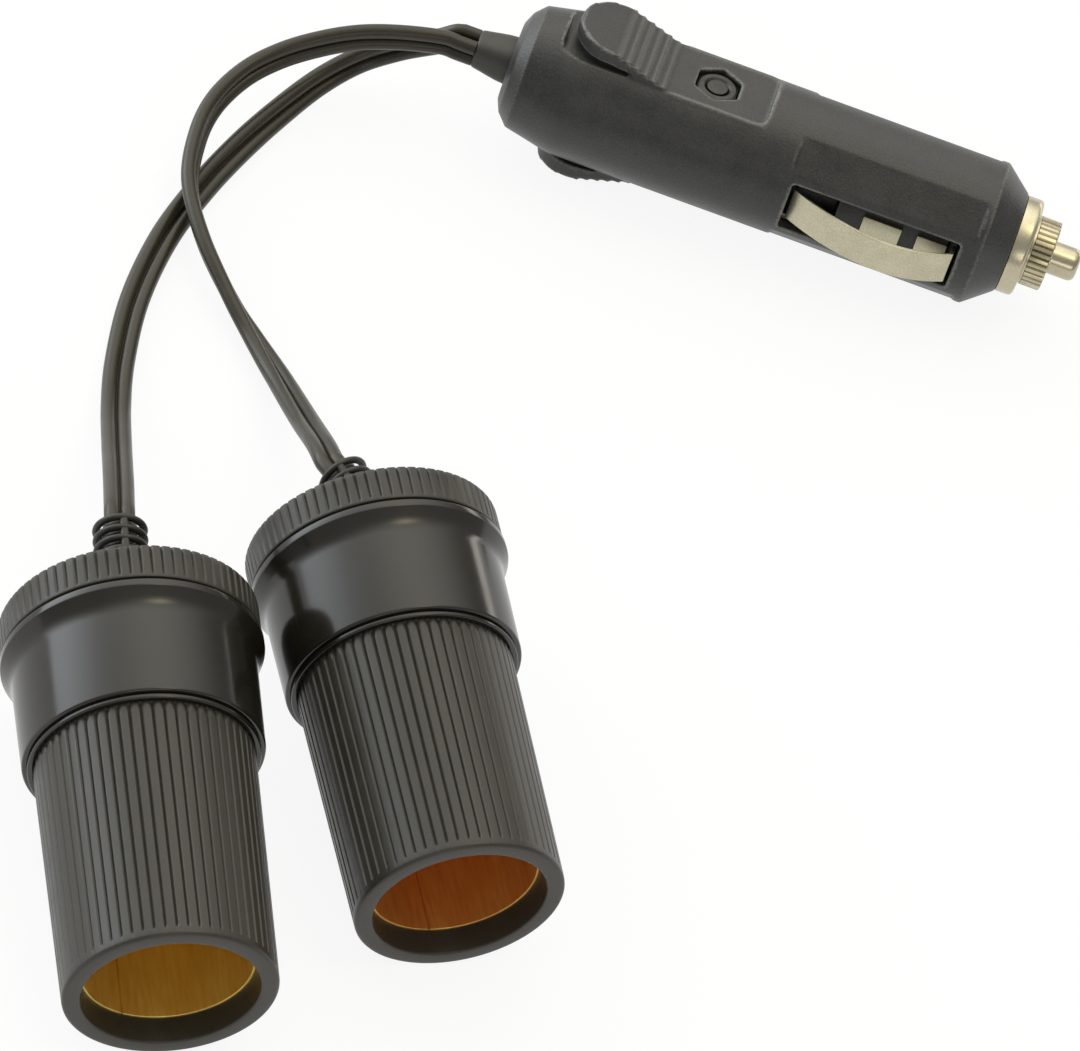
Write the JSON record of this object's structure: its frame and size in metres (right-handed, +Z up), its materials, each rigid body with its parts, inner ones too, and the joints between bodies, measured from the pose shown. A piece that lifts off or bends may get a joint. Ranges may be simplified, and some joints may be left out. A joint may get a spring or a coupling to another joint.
{
  "type": "car power socket splitter",
  "caption": "Car power socket splitter: fused plug with sprung contacts, flat twin leads and ribbed in-line sockets, lying on a surface.",
  "frame": {"origin": "middle of the footprint of the plug and the two sockets, without the leads, on the surface that they lie on", "axes": "+X along the plug towards its tip, +Y from the sockets' mouths towards the plug, +Z up"},
  "size_m": [0.1233, 0.1954, 0.0343],
  "materials": {
    "plug_plastic": "grained charcoal",
    "socket_plastic": "dark grey",
    "boot_pvc": "soft PVC",
    "lead_pvc": "satin PVC",
    "nickel": "nickel plated brass",
    "steel": "zinc plated",
    "brass": "bare",
    "copper_tube": "bronze coloured",
    "fuse_glass": "clear",
    "phenolic": "pressed",
    "fibre": "pressed fibre",
    "red_pvc": "satin",
    "black_pvc": "satin"
  },
  "bodies": {
    "housing": {"upper_shell": "plug_plastic", "lower_shell": "plug_plastic", "shell_screw": "steel", "shell_nut": "steel", "nose_ring": "nickel", "tip_spring": "steel", "live_terminal": "brass", "left_earth_strap": "nickel", "right_earth_strap": "nickel", "plug_live_wires": "red_pvc", "plug_earth_wires": "black_pvc", "plug_boot": "boot_pvc", "left_ribbed_sleeve": "socket_plastic", "left_barrel": "socket_plastic", "left_contact_tube": "copper_tube", "left_insulator": "phenolic", "left_centre_contact": "brass", "left_live_tag": "brass", "left_earth_tag": "brass", "left_live_wire": "red_pvc", "left_earth_wire": "black_pvc", "left_strain_relief": "boot_pvc", "right_ribbed_sleeve": "socket_plastic", "right_barrel": "socket_plastic", "right_contact_tube": "copper_tube", "right_insulator": "phenolic", "right_centre_contact": "brass", "right_live_tag": "brass", "right_earth_tag": "brass", "right_live_wire": "red_pvc", "right_earth_wire": "black_pvc", "right_strain_relief": "boot_pvc", "left_lead": "lead_pvc", "right_lead": "lead_pvc"},
    "tip": {"tip_pin": "nickel", "fuse_glass": "fuse_glass", "fuse_caps": "nickel", "fuse_element": "steel"},
    "left_contact": {"left_side_contact": "nickel"},
    "right_contact": {"right_side_contact": "nickel"},
    "nut_advance": {"nut_washer": "nickel"},
    "nut": {"nose_nut": "nickel"},
    "left_cap_advance": {"left_cap_washer": "fibre"},
    "left_cap": {"left_rear_cap": "socket_plastic"},
    "right_cap_advance": {"right_cap_washer": "fibre"},
    "right_cap": {"right_rear_cap": "socket_plastic"}
  },
  "joints": [
    {"name": "tip_press", "type": "slide", "parent": "housing", "child": "tip", "axis": [-0.9994, 0, 0.0342], "range_m": [0, 0.0025], "stiffness_N_per_m": 1200, "springref_m": -0.002, "deforming": ["tip_spring"]},
    {"name": "left_contact_press", "type": "slide", "parent": "housing", "child": "left_contact", "axis": [0.0036, -0.9945, 0.1045], "range_m": [0, 0.0026], "stiffness_N_per_m": 2500, "springref_m": -0.0004},
    {"name": "right_contact_press", "type": "slide", "parent": "housing", "child": "right_contact", "axis": [-0.0036, 0.9945, -0.1045], "range_m": [0, 0.0026], "stiffness_N_per_m": 2500, "springref_m": -0.0004},
    {"name": "nut_slide", "type": "slide", "parent": "housing", "child": "nut_advance", "axis": [0.9994, 0, -0.0342], "range_m": [0, 0.005]},
    {"name": "nut_turn", "type": "hinge", "parent": "nut_advance", "child": "nut", "pos_m": [0.05537, 0.08449, 0.01014], "axis": [0.9994, 0, -0.0342], "range_deg": [0, 1801]},
    {"name": "left_cap_slide", "type": "slide", "parent": "housing", "child": "left_cap_advance", "axis": [-0.3882, 0.9191, 0.0675], "range_m": [0, 0.004]},
    {"name": "left_cap_turn", "type": "hinge", "parent": "left_cap_advance", "child": "left_cap", "pos_m": [-0.04227, -0.04495, 0.01713], "axis": [-0.3882, 0.9191, 0.0675], "range_deg": [0, 961]},
    {"name": "right_cap_slide", "type": "slide", "parent": "housing", "child": "right_cap_advance", "axis": [-0.4699, 0.8801, 0.0675], "range_m": [0, 0.004]},
    {"name": "right_cap_turn", "type": "hinge", "parent": "right_cap_advance", "child": "right_cap", "pos_m": [-0.01615, -0.01845, 0.01713], "axis": [-0.4699, 0.8801, 0.0675], "range_deg": [0, 961]}
  ],
  "couplings": [
    {"joint": "nut_turn", "follows": "nut_slide", "rad_per_m": 6283.2},
    {"joint": "left_cap_turn", "follows": "left_cap_slide", "rad_per_m": 4188.8},
    {"joint": "right_cap_turn", "follows": "right_cap_slide", "rad_per_m": 4188.8}
  ]
}
